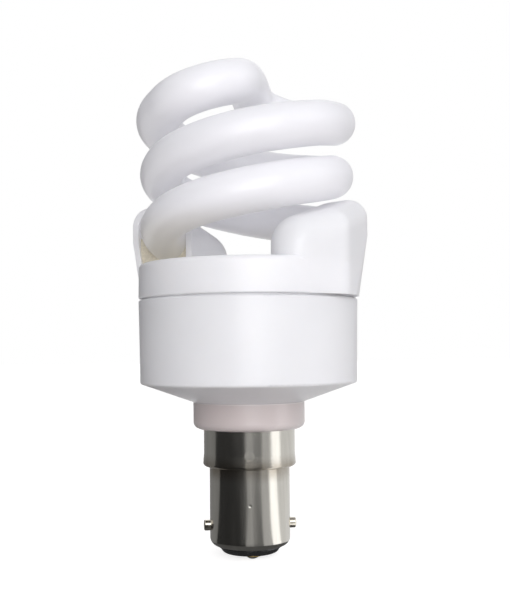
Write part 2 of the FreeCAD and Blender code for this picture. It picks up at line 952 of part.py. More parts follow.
def choke_bobbin():
    """Moulded bobbin with two flanges and a pin at each end."""
    x, y = on_board(choke_place)
    tube = bobbin_sleeve(bobbin_wall)
    wide = core_middle + 2 * choke_window() - 2 * bobbin_gap
    deep = core_depth + 2 * flange_reach
    shapes = []
    for low_z in (tube.BoundBox.ZMin, tube.BoundBox.ZMax - bobbin_wall):
        shapes.append(box(wide, deep, bobbin_wall, x, y, low_z))
    shapes += [lead_up(spot, tube.BoundBox.ZMax - bobbin_wall) for spot in choke_lead_places()]
    return tube.fuse(shapes).cut(bobbin_sleeve(0)).removeSplitter()


def choke_winding():
    """Copper wire wound on the bobbin, a little inside its flanges."""
    x, y = on_board(choke_place)
    tube = bobbin_sleeve(bobbin_wall + fit_gap)
    wide = core_middle + 2 * choke_window() - 4 * bobbin_gap
    deep = core_depth + 2 * flange_reach - 4 * bobbin_gap
    height = tube.BoundBox.ZLength - 2 * bobbin_wall - 2 * fit_gap
    coil = box(wide, deep, height, x, y, tube.BoundBox.ZMin + bobbin_wall + fit_gap)
    return coil.makeFillet(bobbin_wall, upright_edges(coil, height / 2)).cut(tube)


def ring_shape(grow):
    """Ring core of the drive transformer, larger all round by what it grows."""
    low_z = part_top_z() - winding_thick - fit_gap - ring_height
    foot = Vector(*on_board(ring_place), low_z - grow)
    ring = cylinder(ring_outer + grow, ring_height + 2 * grow, foot)
    return ring.cut(cylinder(ring_inner - grow, ring_height + 2 * grow, foot))


def ring_core():
    return ring_shape(0)


def ring_lead_places():
    """Two places for each winding of the drive transformer."""
    middle = Vector(*on_board(ring_place), 0)
    places = []
    for angle, span in zip(winding_angles, winding_spans):
        for side in (-1, 1):
            spot = middle + polar(ring_outer + winding_thick / 2, angle + side * span * winding_lead_share)
            places.append((spot.x, spot.y))
    return places


def ring_windings():
    """Three windings, each a sleeve of wire round its stretch of the ring core."""
    sleeve = ring_shape(winding_thick).cut(ring_shape(fit_gap))
    middle = Vector(*on_board(ring_place), 0)
    low_z = sleeve.BoundBox.ZMin
    height = sleeve.BoundBox.ZLength
    places = ring_lead_places()
    windings = []
    for index, (angle, span) in enumerate(zip(winding_angles, winding_spans)):
        wedge = Part.makeCylinder(2 * ring_outer, height, middle + up * low_z, up, span)
        wedge.rotate(middle, up, angle - span / 2)
        leads = [lead_up(spot, low_z + winding_thick) for spot in places[2 * index:2 * index + 2]]
        wound = sleeve.common(wedge).fuse(leads)
        windings.append(wound.cut(ring_shape(fit_gap)).removeSplitter())
    return windings


def drum_low_z():
    return part_top_z() - drum_height


def drum_lead_places():
    return places_beside(on_board(drum_place), drum_lead_spacing)


def drum_core():
    """Ferrite drum with two flanges; two pins stand in the upper one."""
    foot = Vector(*on_board(drum_place), drum_low_z())
    lower = cylinder(drum_radius, drum_flange, foot)
    waist = cylinder(drum_waist, drum_height, foot)
    upper = cylinder(drum_radius, drum_flange, foot + up * (drum_height - drum_flange))
    pins = [lead_up(spot, part_top_z() - lead_radius) for spot in drum_lead_places()]
    return lower.fuse([waist, upper] + pins).removeSplitter()


def drum_coil():
    length = drum_height - 2 * drum_flange - 2 * fit_gap
    foot = Vector(*on_board(drum_place), drum_low_z() + drum_flange + fit_gap)
    return cylinder(drum_winding, length, foot).cut(cylinder(drum_waist + fit_gap, length, foot))


def diode_places():
    spots = [polar(diode_share * board_radius, angle) for angle in diode_angles]
    return [(spot.x, spot.y) for spot in spots]


def cap_lead_places():
    spots = [polar(cap_lead_place, angle) for angle in cap_lead_angles]
    return [(spot.x, spot.y) for spot in spots]


def cap_lead_route(place, contact):
    """From above the board straight down beside the can, then across and into the eyelet of a contact."""
    high = Vector(place[0], place[1], board_top_z + lead_proud)
    low = Vector(place[0], place[1], cap_lead_bend)
    above_eyelet = Vector(contact.x, contact.y, insulator_top_z() + (cap_lead_bend - insulator_top_z()) / 2)
    end = contact + up * contact_thick
    return [high, low, above_eyelet, end]


def fuse_foot():
    return polar(cap_lead_place, cap_lead_angles[0], cap_lead_bend + fuse_above_bend)


def fusible_resistor():
    return cylinder(fuse_radius, fuse_length, fuse_foot())


def fuse_sleeve():
    """Glass-fibre sleeve slipped over the fusible resistor."""
    foot = fuse_foot() - up * sleeve_overhang
    length = fuse_length + 2 * sleeve_overhang
    bore = fuse_radius + fit_gap
    return cylinder(bore + sleeve_wall, length, foot).cut(cylinder(bore, length, foot))


def cap_leads():
    """Two wires from the board to the contacts; the first is broken by the fusible resistor."""
    contacts = contact_places()
    wires = []
    for place, contact in zip(cap_lead_places(), reversed(contacts)):
        wires.append(tube_along(cap_lead_route(place, contact), cap_lead_radius))
    return wires[0].cut(fusible_resistor()).Solids + wires[1:]


def at_each_post(shape):
    """Copies of a shape drawn at (post_place, 0), one at each of the four posts."""
    copies = []
    for angle in (post_angle, post_angle + half_turn):
        for side in (-1, 1):
            copy = shape.copy()
            copy.translate(Vector(0, side * post_spacing / 2, 0))
            copies.append(turned(copy, angle))
    return copies


def post(grow=0):
    """Square pin through the board, one face towards the axis."""
    side = post_side + 2 * grow
    return box(side, side, post_tail + board_thick + post_height, post_place, 0, board_z - post_tail)


def tube_leads_to(glass):
    """Wires from the ends of the glass down to the posts, each wrapped round its post."""
    middle = post_place + post_side / 2 + tube_lead_radius
    wrap_low_z = board_top_z + post_height - wrap_below_top - wrap_height
    wire = cylinder(tube_lead_radius, mouth_z - wrap_low_z, Vector(middle, 0, wrap_low_z))
    side = post_side + 4 * tube_lead_radius
    wrap = box(side, side, wrap_height, post_place, 0, wrap_low_z).cut(post())
    leads = [lead.cut(glass) for lead in at_each_post(wire.fuse(wrap))]
    return [min(lead.Solids, key=lambda solid: solid.BoundBox.ZMin).removeSplitter() for lead in leads]


def lead_places():
    """Every place where a round lead comes up through the board, with the lead's radius."""
    places = capacitor_lead_places() + choke_lead_places() + ring_lead_places() + drum_lead_places()
    places += places_beside(on_board(tube_capacitor_place), tube_capacitor_spacing)
    places += places_beside(on_board(coupling_capacitor_place), coupling_capacitor_spacing)
    places += places_beside(on_board(start_capacitor_place), start_capacitor_spacing)
    for place in diode_places() + [on_board(share) for share in resistor_places + (trigger_place,)]:
        places += upright_places(place)
    for share in transistor_places:
        places += transistor_lead_places(on_board(share))
    thin = [(place, lead_radius) for place in places]
    return thin + [(place, cap_lead_radius) for place in cap_lead_places()]


def circuit_board():
    """Round board drilled for every lead and post."""
    board = cylinder(board_radius, board_thick, Vector(0, 0, board_z))
    holes = []
    for place, radius in lead_places():
        holes.append(cylinder(radius + hole_play, board_thick, Vector(place[0], place[1], board_z)))
    holes += at_each_post(post(hole_play))
    return board.cut(holes)


def solder_cone(place, rim, core):
    """Cone of solder on the board round a lead or a post."""
    foot = Vector(*place, board_top_z)
    cone = Part.makeCone(rim + joint_spread, rim + joint_rim, joint_height, foot, up)
    return cone.cut(core)


def solder_joints():
    joints = []
    for place, radius in lead_places():
        joints.append(solder_cone(place, radius, lead_up(place, board_z, radius)))
    return joints + at_each_post(solder_cone((post_place, 0), post_side / math.sqrt(2), post()))


glass = glass_spiral()
tube_leads = tube_leads_to(glass)
cement = tube_cement(glass.fuse(tube_leads))
pin = bayonet_pin()

save("cap_shell", cap_shell())
save("bayonet_pin_right", pin)
save("bayonet_pin_left", opposite(pin))
save("cap_insulator", cap_insulator())
save("contact_plates", *[contact_plate(place) for place in contact_places()])
save("contact_solder", *[solder_dome(place) for place in contact_places()])
save("lower_housing", lower_housing())
save("upper_cover", upper_cover())
save("glass_spiral", glass)
save("tube_cement", cement, opposite(cement))
save("tube_leads", *tube_leads)
save("wire_posts", *at_each_post(post()))
save("circuit_board", circuit_board())
save("solder_joints", *solder_joints())
save("cap_leads", *cap_leads())
save("fusible_resistor", fusible_resistor())
save("fuse_sleeve", fuse_sleeve())
save("capacitor_can", capacitor_can())
save("capacitor_seal", capacitor_seal())
save("capacitor_leads", *capacitor_leads())
save("choke_core", choke_core())
save("choke_bobbin", choke_bobbin())
save("choke_winding", choke_winding())
save("ring_core", ring_core())
save("ring_windings", *ring_windings())
save("drum_core", drum_core())
save("drum_coil", drum_coil())
save("transistors", *[transistor(on_board(share)) for share in transistor_places])
save("diodes", *[upright_part(place, diode_radius, diode_length) for place in diode_places()])
save("trigger_diode", upright_part(on_board(trigger_place), trigger_radius, trigger_length))
save("resistors", *[resistor(on_board(share)) for share in resistor_places])
save("tube_capacitor", tube_capacitor())
save("coupling_capacitor", coupling_capacitor())
save("start_capacitor", start_capacitor())
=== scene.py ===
import json
import math

import bpy
from mathutils import Matrix, Vector

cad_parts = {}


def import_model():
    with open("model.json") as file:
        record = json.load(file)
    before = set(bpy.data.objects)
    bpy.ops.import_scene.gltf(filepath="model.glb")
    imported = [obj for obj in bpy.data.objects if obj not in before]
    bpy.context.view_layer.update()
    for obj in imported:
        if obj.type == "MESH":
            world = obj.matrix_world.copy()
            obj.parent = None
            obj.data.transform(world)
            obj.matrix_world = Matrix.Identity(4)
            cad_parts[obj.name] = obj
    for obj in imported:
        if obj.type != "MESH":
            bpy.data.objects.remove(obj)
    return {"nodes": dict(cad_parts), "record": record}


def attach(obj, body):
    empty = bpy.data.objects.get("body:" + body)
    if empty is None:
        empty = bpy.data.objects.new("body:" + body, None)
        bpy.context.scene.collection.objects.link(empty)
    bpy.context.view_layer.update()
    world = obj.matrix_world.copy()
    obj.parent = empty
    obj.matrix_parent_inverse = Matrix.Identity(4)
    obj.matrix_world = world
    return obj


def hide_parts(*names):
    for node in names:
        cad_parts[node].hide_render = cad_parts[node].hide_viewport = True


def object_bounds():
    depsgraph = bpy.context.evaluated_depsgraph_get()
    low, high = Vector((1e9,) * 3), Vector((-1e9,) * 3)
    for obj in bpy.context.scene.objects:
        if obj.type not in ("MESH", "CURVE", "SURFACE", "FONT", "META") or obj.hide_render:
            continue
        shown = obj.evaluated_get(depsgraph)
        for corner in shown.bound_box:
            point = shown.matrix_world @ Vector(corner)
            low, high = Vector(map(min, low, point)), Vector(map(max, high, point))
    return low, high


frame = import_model()
cad_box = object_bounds()

# Lengths are in metres. The origin is on the lamp's axis, level with the bayonet pins, and +Z is up.
MM = 0.001
UP = Vector((0, 0, 1))
WHITE = (1, 1, 1)

# Camera: its angle round the lamp is in degrees, its sensor in millimetres, and its framing in pixels
CAMERA_ANGLE = -97.0
CAMERA_DISTANCE = 172.0 * MM
EYE_HEIGHT = 33.5 * MM
SENSOR_WIDTH = 36.0
IMAGE_WIDTH = 510.0
FOCAL_PIXELS = 912.0
AXIS_LEFT_OF_MIDDLE = 6.6
HORIZON_BELOW_MIDDLE = 46.0
CAMERA_ROLL = 0.010
CLIP_START = 10.0 * MM

# Glass spiral: two strands wound from the mouths of the hoods and joined by a crest
TUBE_RADIUS = 3.98 * MM
HELIX_RADIUS = 16.0 * MM
HELIX_PITCH = 19.95 * MM
HELIX_RISE = HELIX_PITCH / (2 * math.pi)
MOUTH_Z = 54.6 * MM
STRAND_TURN = math.radians(402.5)
TAIL_TURN = math.radians(22.2)
TAIL_DROP = 0.5 * MM
CREST_TURN = math.radians(47.5)
CREST_LIFT = 4.87 * MM
HOOD_ANGLE = math.radians(-18.0)
STEM_RADIUS = 1.1 * MM
STEM_LENGTH = 2.2 * MM

# Fineness of the spiral: corners of its route, steps along it and sides round it
HELIX_PIECES = 8
CREST_PIECES = 3
ARC_STEP = math.radians(3.0)
MIN_ARC_STEPS = 2
STRAIGHT_STEP = 1.0 * MM
SAME_PLACE = 0.05 * MM
DOME_STEPS = 8
TUBE_SIDES = 64

# Cement in the mouths of the hoods: its reach from the axis, its place behind the mouth and its heights
CEMENT_INNER = 12.1 * MM
CEMENT_OUTER = 21.3 * MM
CEMENT_BEHIND_MOUTH = 0.8 * MM
CEMENT_THICK = 0.8 * MM
CEMENT_LOW_Z = 47.8 * MM
CEMENT_TOP_Z = 54.4 * MM

# Sides of a box by the numbers of its corners, four below and four above
BOX_SIDES = ((0, 3, 2, 1), (4, 5, 6, 7), (0, 1, 5, 4), (1, 2, 6, 5), (2, 3, 7, 6), (3, 0, 4, 7))

# White plastic, glossier on the collar than above it, where its colour is warmer and darker: the warmth is
# its own, the darkness is painted shade under the housing
PLASTIC_COLOURS = ((0.865, 0.86, 0.883), (0.885, 0.88, 0.903))
COLLAR_TINT_AND_SHADE = (0.62, 0.552, 0.545)
COLLAR_TOP_Z = 23.1 * MM
COLLAR_FADE = 0.3 * MM

# Coated glass, warmer and darker towards its ends in the hoods: partly the tube's own darkening at its ends,
# partly painted shade in the mouths of the hoods
GLASS_COLOURS = ((0.7, 0.695, 0.725), (0.72, 0.715, 0.74))
# Painted glow: a faint light from the tube itself lifts its shaded sides, though the lamp is off
GLASS_PAINTED_GLOW = (0.97, 0.97, 1.0)
MOUTH_TINT_AND_SHADE = (0.5, 0.46, 0.37)
MOUTH_SHADE = 4.0 * MM

# Nickel plate, with marks drawn out along the axis, and a brown stain round the step of the cap
CAP_COLOUR = (0.605, 0.585, 0.54)
PIN_COLOUR = (0.66, 0.62, 0.54)
DRAWN_STRETCH = (1, 1, 0.08)
RELIEF_STRETCH = (1, 1, 0.1)
STEP_Z = 11.1 * MM
STAIN_REACH = 3.0 * MM
STAIN_COLOUR = (0.2, 0.15, 0.09)

# Black insulator
INSULATOR_COLOURS = ((0.012, 0.012, 0.013), (0.024, 0.024, 0.026))

# Plain materials by slot: colour, roughness, lumps of grain a metre, depth of relief, and 1 for a metal
PLAIN_MATERIALS = {
    "contact_brass": ((0.66, 0.47, 0.2), 0.3, 1400.0, 0.008 * MM, 1),
    "solder": ((0.5, 0.5, 0.5), 0.38, 1500.0, 0.02 * MM, 1),
    "cement": ((0.64, 0.59, 0.48), 0.9, 2200.0, 0.05 * MM, 0),
    "board": ((0.5, 0.34, 0.14), 0.6, 900.0, 0.01 * MM, 0),
    "wire": ((0.6, 0.58, 0.54), 0.3, 2000.0, 0.005 * MM, 1),
    "ceramic_body": ((0.5, 0.36, 0.2), 0.5, 1200.0, 0.01 * MM, 0),
    "sleeve": ((0.78, 0.74, 0.6), 0.9, 3000.0, 0.06 * MM, 0),
    "can": ((0.02, 0.02, 0.04), 0.35, 500.0, 0.005 * MM, 0),
    "rubber": ((0.02, 0.02, 0.02), 0.8, 1500.0, 0.02 * MM, 0),
    "ferrite": ((0.05, 0.05, 0.055), 0.6, 2500.0, 0.02 * MM, 0),
    "bobbin": ((0.03, 0.03, 0.03), 0.5, 900.0, 0.01 * MM, 0),
    "copper": ((0.6, 0.2, 0.07), 0.3, 2600.0, 0.03 * MM, 1),
    "black_epoxy": ((0.02, 0.02, 0.02), 0.6, 1800.0, 0.01 * MM, 0),
    "film_capacitor": ((0.42, 0.06, 0.03), 0.3, 400.0, 0.01 * MM, 0),
}

# Shares by which their grain changes colour and finish, and how many times finer their relief is
COLOUR_CHANGE = 0.12
FINISH_CHANGE = 0.15
RELIEF_FINER = 3

# Values of a noise below which a patchy colour is dark, and above which it is light
DARK_BELOW = 0.3
LIGHT_ABOVE = 0.7

# Sockets of a Mix node for colours, which share their names with its sockets for numbers
MIX_FACTOR = 0
MIX_FIRST = 6
MIX_SECOND = 7
MIX_RESULT = 2

# Angles of lamps and cards are in degrees from the camera's direction, positive to the right in the picture.
# Lamps: name, angle, distance from the axis, height, size and power
LAMPS = (
    ("key_lamp", 9, 0.6, 0.21, 0.5, 2.15),
    ("low_lamp", 3, 0.5, 0.0, 0.22, 0.65),
    ("right_lamp", 80, 0.5, 0.3, 0.4, 0.4),
)

# Soft fill from all round
FILL_COLOUR = (0.94, 0.95, 1.0)
FILL_AT_HORIZON = 0.6
FILL_OVERHEAD = 0.32

# Floor just under the lamp, lifted towards white where it is seen
FLOOR_REACH = 2.0
FLOOR_GAP = 0.05 * MM
FLOOR_COLOURS = ((0.58, 0.555, 0.545), (0.6, 0.575, 0.565))
FLOOR_LIFT = 0.8

# Cards round the lamp, which its gloss shows as bands: name, first angle, last angle and tone
CARD_FOOT_Z = cad_box[0].z - FLOOR_GAP / 2
CARD_STEP = 6
FOOT_CARD_TONE = 0.1
LOW_CARD_FOOT = 11.0 * MM
LOW_CARD_RADIUS = 60.0 * MM
LOW_CARD_TOP = 24.0 * MM
LOW_CARDS = (
    ("card_rear_left", -150, -84, 0.24),
    ("card_left", -84, -9, 0.03),
    ("card_middle", -9, 7, 0.3),
    ("card_right", 7, 28, 0.17),
    ("card_far_right", 28, 50, 0.55),
    ("card_bright", 50, 74, 1.7),
    ("card_rear_right", 74, 150, 0.85),
)
TALL_CARD_RADIUS = 0.45
TALL_CARD_TOP = 0.5
TALL_CARDS = (
    ("tall_card_left", -160, -52, 0.2),
    ("tall_card_right", 95, 160, 0.5),
)


class Nodes:
    """Short way to build one node material."""

    def __init__(self, name):
        self.material = bpy.data.materials.new(name)
        self.material.use_nodes = True
        self.tree = self.material.node_tree
        self.shader = self.tree.nodes["Principled BSDF"]
        self.place = self.add("ShaderNodeTexCoord").outputs["Object"]

    def add(self, kind, **settings):
        node = self.tree.nodes.new(kind)
        for key, value in settings.items():
            setattr(node, key, value)
        return node

    def link(self, source, target):
        self.tree.links.new(source, target)

    def value(self, **sockets):
        """Set uniform values on the shader itself; underscores stand for spaces."""
        for key, amount in sockets.items():
            self.shader.inputs[key.replace("_", " ")].default_value = amount

    def noise(self, scale, detail=3.0, stretch=None):
        """Noise in the object's own space, of so many lumps a metre, stretched along an axis if asked."""
        place = self.place
        if stretch:
            mapping = self.add("ShaderNodeMapping")
            mapping.inputs["Scale"].default_value = stretch
            self.link(place, mapping.inputs["Vector"])
            place = mapping.outputs["Vector"]
        noise = self.add("ShaderNodeTexNoise")
        noise.inputs["Scale"].default_value = scale
        noise.inputs["Detail"].default_value = detail
        self.link(place, noise.inputs["Vector"])
        return noise.outputs["Fac"]

    def patches(self, noise, dark, light):
        """Colour that a noise takes from a dark one to a light one."""
        ramp = self.add("ShaderNodeValToRGB")
        low, high = ramp.color_ramp.elements
        low.position = DARK_BELOW
        low.color = (*dark, 1)
        high.position = LIGHT_ABOVE
        high.color = (*light, 1)
        self.link(noise, ramp.inputs["Fac"])
        return ramp.outputs["Color"]

    def climb(self, low_z, high_z):
        """A factor that climbs softly from 0 to 1 between two heights."""
        height = self.add("ShaderNodeSeparateXYZ")
        self.link(self.place, height.inputs["Vector"])
        climb = self.add("ShaderNodeMapRange", interpolation_type="SMOOTHSTEP")
        climb.inputs["From Min"].default_value = low_z
        climb.inputs["From Max"].default_value = high_z
        self.link(height.outputs["Z"], climb.inputs["Value"])
        return climb.outputs["Result"]

    def mix(self, factor, colour, source):
        """A plain colour where the factor is 0 and another node's colour where it is 1."""
        mix = self.add("ShaderNodeMix", data_type="RGBA")
        mix.inputs[MIX_FIRST].default_value = (*colour, 1)
        self.link(factor, mix.inputs[MIX_FACTOR])
        self.link(source, mix.inputs[MIX_SECOND])
        return mix.outputs[MIX_RESULT]

    def calculate(self, operation, first, second):
        """What an operation makes of two factors."""
        result = self.add("ShaderNodeMath", operation=operation)
        self.link(first, result.inputs[0])
        self.link(second, result.inputs[1])
        return result.outputs["Value"]

    def spread(self, factor, low, high):
        """A factor from 0 to 1 spread between two values."""
        spread = self.add("ShaderNodeMapRange")
        spread.inputs["To Min"].default_value = low
        spread.inputs["To Max"].default_value = high
        self.link(factor, spread.inputs["Value"])
        return spread.outputs["Result"]

    def colour(self, source):
        self.link(source, self.shader.inputs["Base Color"])

    def roughness(self, source):
        self.link(source, self.shader.inputs["Roughness"])

    def coat(self, source):
        self.link(source, self.shader.inputs["Coat Weight"])

    def surface(self, source):
        self.link(source, self.tree.nodes["Material Output"].inputs["Surface"])

    def bump(self, height, depth):
        """Relief of a real depth."""
        bump = self.add("ShaderNodeBump")
        bump.inputs["Distance"].default_value = depth
        self.link(height, bump.inputs["Height"])
        self.link(bump.outputs["Normal"], self.shader.inputs["Normal"])


def tinted(colour, share):
    """A colour made lighter or darker by a share."""
    return tuple(min(channel * share, 1.0) for channel in colour)


def plain_material(name, colour, rough, scale, depth, metal):
    """Material with a soft change of colour and finish and a fine relief."""
    made = Nodes(name)
    made.value(Metallic=metal)
    grain = made.noise(scale)
    made.colour(made.patches(grain, tinted(colour, 1 - COLOUR_CHANGE), tinted(colour, 1 + COLOUR_CHANGE)))
    made.roughness(made.spread(grain, rough * (1 - FINISH_CHANGE), rough * (1 + FINISH_CHANGE)))
    made.bump(made.noise(scale * RELIEF_FINER), depth)
    return made.material


def white_plastic():
    """Moulded white plastic with a soft gloss over a very fine mould texture."""
    made = Nodes("white_plastic")
    made.value(Subsurface_Weight=0.4, Subsurface_Scale=4.0 * MM, Subsurface_Radius=(1.0, 0.95, 0.9))
    made.value(Coat_Roughness=0.16, Specular_IOR_Level=0.3)
    white = made.patches(made.noise(scale=90.0, detail=2.0), *PLASTIC_COLOURS)
    above_collar = made.climb(COLLAR_TOP_Z - COLLAR_FADE, COLLAR_TOP_Z + COLLAR_FADE)
    # Painted shade, with the collar's own warmer tint: below the housing the plastic takes a darker, warmer
    # colour
    made.colour(made.mix(above_collar, COLLAR_TINT_AND_SHADE, white))
    made.coat(made.spread(above_collar, low=0.7, high=0.1))
    made.roughness(made.spread(made.noise(scale=700.0), low=0.3, high=0.42))
    made.bump(made.noise(scale=5200.0, detail=4.0), depth=0.006 * MM)
    return made.material


def coated_glass():
    """Glossy tube with a white coat inside."""
    made = Nodes("coated_glass")
    made.value(Coat_Weight=0.28, Coat_Roughness=0.2, Roughness=0.45)
    made.value(Subsurface_Weight=0.6, Subsurface_Scale=4.0 * MM, Subsurface_Radius=(1.0, 0.98, 1.0))
    # Painted glow: the tube gives a faint light of its own, which lightens its shaded sides
    made.value(Emission_Color=(*GLASS_PAINTED_GLOW, 1), Emission_Strength=0.15)
    coat = made.patches(made.noise(scale=60.0, detail=2.0), *GLASS_COLOURS)
    above_mouth = made.climb(MOUTH_Z - MOUTH_SHADE, MOUTH_Z + MOUTH_SHADE)
    # Painted shade, with the tube's own darkening at its ends: below the mouths' height the glass takes a
    # darker, warmer colour
    made.colour(made.mix(above_mouth, MOUTH_TINT_AND_SHADE, coat))
    made.bump(made.noise(scale=300.0, detail=1.0), depth=0.01 * MM)
    return made.material


def nickel(name, colour):
    """Bright nickel plate with faint marks of drawing, stained near the step of the cap."""
    made = Nodes(name)
    made.value(Metallic=1)
    drawn = made.noise(scale=900.0, stretch=DRAWN_STRETCH)
    plate = made.patches(drawn, tinted(colour, share=0.92), tinted(colour, share=1.06))
    up_to_step = made.climb(STEP_Z - STAIN_REACH, STEP_Z)
    past_step = made.climb(STEP_Z, STEP_Z + STAIN_REACH)
    near_step = made.calculate("SUBTRACT", up_to_step, past_step)
    stain = made.calculate("MULTIPLY", near_step, made.noise(scale=260.0))
    made.colour(made.mix(made.spread(stain, low=1.0, high=0.0), STAIN_COLOUR, plate))
    made.roughness(made.spread(drawn, low=0.12, high=0.24))
    made.bump(made.noise(scale=2600.0, stretch=RELIEF_STRETCH), depth=0.004 * MM)
    return made.material


def black_insulator():
    """Pressed black insulator with a smooth skin."""
    made = Nodes("black_insulator")
    made.value(Coat_Weight=0.5, Coat_Roughness=0.12)
    cloud = made.noise(scale=500.0)
    made.colour(made.patches(cloud, *INSULATOR_COLOURS))
    made.roughness(made.spread(cloud, low=0.2, high=0.34))
    made.bump(made.noise(scale=2400.0), depth=0.006 * MM)
    return made.material


def slot_materials():
    """Material of every slot in the record."""
    made = {slot: plain_material(slot, *looks) for slot, looks in PLAIN_MATERIALS.items()}
    made["nickel_cap"] = nickel("nickel", CAP_COLOUR)
    made["pin_brass"] = nickel("plated_pin", PIN_COLOUR)
    made["black_insulator"] = black_insulator()
    made["white_plastic"] = white_plastic()
    made["coated_glass"] = coated_glass()
    return made


def dress_nodes(materials):
    """Give every CAD node the material of its slot."""
    for part in frame["record"]["subparts"]:
        node = frame["nodes"][part["node"]]
        node.data.materials.clear()
        node.data.materials.append(materials[part["material_slot"]])


def polar(radius, angle, z=0.0):
    return Vector((radius * math.cos(angle), radius * math.sin(angle), z))


def from_camera(angle, radius, z):
    """Place at an angle in degrees from the camera's direction."""
    return polar(radius, math.radians(CAMERA_ANGLE + angle), z)


def rounded_route(centre, radius, start, turn, pieces):
    """Corners of a polyline whose rounded path follows an arc seen from above."""
    step = turn / pieces
    reach = radius / math.cos(step / 2)
    return [centre + polar(reach, start + step * (index + 0.5)) for index in range(pieces)]


def wound_corners():
    """Corners of a strand's turns, with its end inside a hood first."""
    tail_z = MOUTH_Z - HELIX_RISE * TAIL_TURN
    wound = STRAND_TURN + TAIL_TURN
    corners = rounded_route(Vector((0, 0, 0)), HELIX_RADIUS, -TAIL_TURN, wound, HELIX_PIECES)
    for index, corner in enumerate(corners):
        corner.z = tail_z + HELIX_RISE * wound * (index + 0.5) / HELIX_PIECES
    return [polar(HELIX_RADIUS, -TAIL_TURN, tail_z - TAIL_DROP)] + corners


def crest_corners():
    """Corners of the bend that takes a strand from its last turn in towards the axis."""
    share = math.sin(CREST_TURN)
    bend = HELIX_RADIUS * share / (1 + share)
    centre = polar(HELIX_RADIUS - bend, STRAND_TURN)
    corners = rounded_route(centre, bend, STRAND_TURN, CREST_TURN + math.pi / 2, CREST_PIECES)
    for index, corner in enumerate(corners):
        corner.z = MOUTH_Z + HELIX_RISE * STRAND_TURN + CREST_LIFT * (index + 0.5) / CREST_PIECES
    return corners


def spiral_route():
    """Corners of the whole tube, from one hood over the crest to the other."""
    half_route = wound_corners() + crest_corners()
    first, second = half_route[-2:]
    slope = (second.z - first.z) / (second - first).length
    top = Vector((0, 0, second.z + slope * math.hypot(second.x, second.y)))
    other_half = [Vector((-corner.x, -corner.y, corner.z)) for corner in reversed(half_route)]
    turn = Matrix.Rotation(HOOD_ANGLE, 3, "Z")
    return [turn @ corner for corner in half_route + [top] + other_half]


def straight_points(start, end):
    """Points after the start of a straight run, up to its end, or none where the two are one place."""
    length = (end - start).length
    if length < SAME_PLACE:
        return []
    steps = math.ceil(length / STRAIGHT_STEP)
    return [start.lerp(end, step / steps) for step in range(1, steps + 1)]


def corner_arc(before, corner, after, run):
    """Points of the arc that rounds a corner and meets both of its sides at a distance from it."""
    back = (before - corner).normalized()
    ahead = (after - corner).normalized()
    half = back.angle(ahead) / 2
    start = corner + back * run
    centre = corner + (back + ahead).normalized() * (run / math.cos(half))
    axis = ahead.cross(back).normalized()
    sweep = math.pi - 2 * half
    steps = max(MIN_ARC_STEPS, math.ceil(sweep / ARC_STEP))
    turns = [Matrix.Rotation(sweep * step / steps, 3, axis) for step in range(steps + 1)]
    return [centre + turn @ (start - centre) for turn in turns]


def rounded_line(corners):
    """Points along a polyline with every corner rounded by an arc as large as its sides allow."""
    points = [corners[0]]
    last = len(corners) - 2
    for index in range(1, last + 1):
        before, corner, after = corners[index - 1:index + 2]
        room_before = (before - corner).length / (1 if index == 1 else 2)
        room_after = (after - corner).length / (1 if index == last else 2)
        arc = corner_arc(before, corner, after, min(room_before, room_after))
        points += straight_points(points[-1], arc[0])
        points += arc[1:]
    points += straight_points(points[-1], corners[-1])
    return points


def stem_rings(tip, outward):
    """Centres and radii from the rim of a domed end of the tube to the tip of its stem."""
    height = math.sqrt(TUBE_RADIUS ** 2 - STEM_RADIUS ** 2)
    climb = math.atan2(height, STEM_RADIUS)
    rings = []
    for step in range(1, DOME_STEPS + 1):
        angle = climb * step / DOME_STEPS
        rings.append((tip + outward * (TUBE_RADIUS * math.sin(angle)), TUBE_RADIUS * math.cos(angle)))
    stem_top = tip + outward * (height + STEM_LENGTH)
    for step in range(DOME_STEPS):
        angle = math.pi / 2 * step / DOME_STEPS
        rings.append((stem_top + outward * (STEM_RADIUS * math.sin(angle)), STEM_RADIUS * math.cos(angle)))
    return rings


def ring_vertices(rings):
    """Vertices of (centre, radius) rings square to their line, carried along it without twisting."""
    centres = [centre for centre, radius in rings]
    side = (centres[1] - centres[0]).orthogonal()
    vertices = []
    for index, (centre, radius) in enumerate(rings):
        before = centres[max(index - 1, 0)]
        after = centres[min(index + 1, len(rings) - 1)]
        ahead = (after - before).normalized()
        side = (side - ahead * side.dot(ahead)).normalized()
        other = ahead.cross(side)
        for step in range(TUBE_SIDES):
            angle = 2 * math.pi * step / TUBE_SIDES
            vertices.append(centre + (side * math.cos(angle) + other * math.sin(angle)) * radius)
    return vertices


def ring_faces(count):
    """Faces between a number of rings, and one across each end."""
    last = (count - 1) * TUBE_SIDES
    faces = [tuple(reversed(range(TUBE_SIDES))), tuple(range(last, last + TUBE_SIDES))]
    for here in range(0, last, TUBE_SIDES):
        beyond = here + TUBE_SIDES
        for step in range(TUBE_SIDES):
            after = (step + 1) % TUBE_SIDES
            faces.append((here + step, here + after, beyond + after, beyond + step))
    return faces


def new_piece(name, vertices, faces, material):
    mesh = bpy.data.meshes.new(name)
    mesh.from_pydata([tuple(vertex) for vertex in vertices], [], faces)
    mesh.materials.append(material)
    piece = bpy.data.objects.new(name, mesh)
    bpy.context.scene.collection.objects.link(piece)
    return piece


def glass_tube(material):
    """Glass spiral with the wound strands and the crest as the photograph shows them."""
    line = rounded_line(spiral_route())
    low = stem_rings(line[0], (line[0] - line[1]).normalized())
    high = stem_rings(line[-1], (line[-1] - line[-2]).normalized())
    rings = list(reversed(low)) + [(point, TUBE_RADIUS) for point in line] + high
    piece = new_piece("glass_tube", ring_vertices(rings), ring_faces(len(rings)), material)
    piece.data.shade_smooth()
    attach(piece, "root")
    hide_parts("glass_spiral")


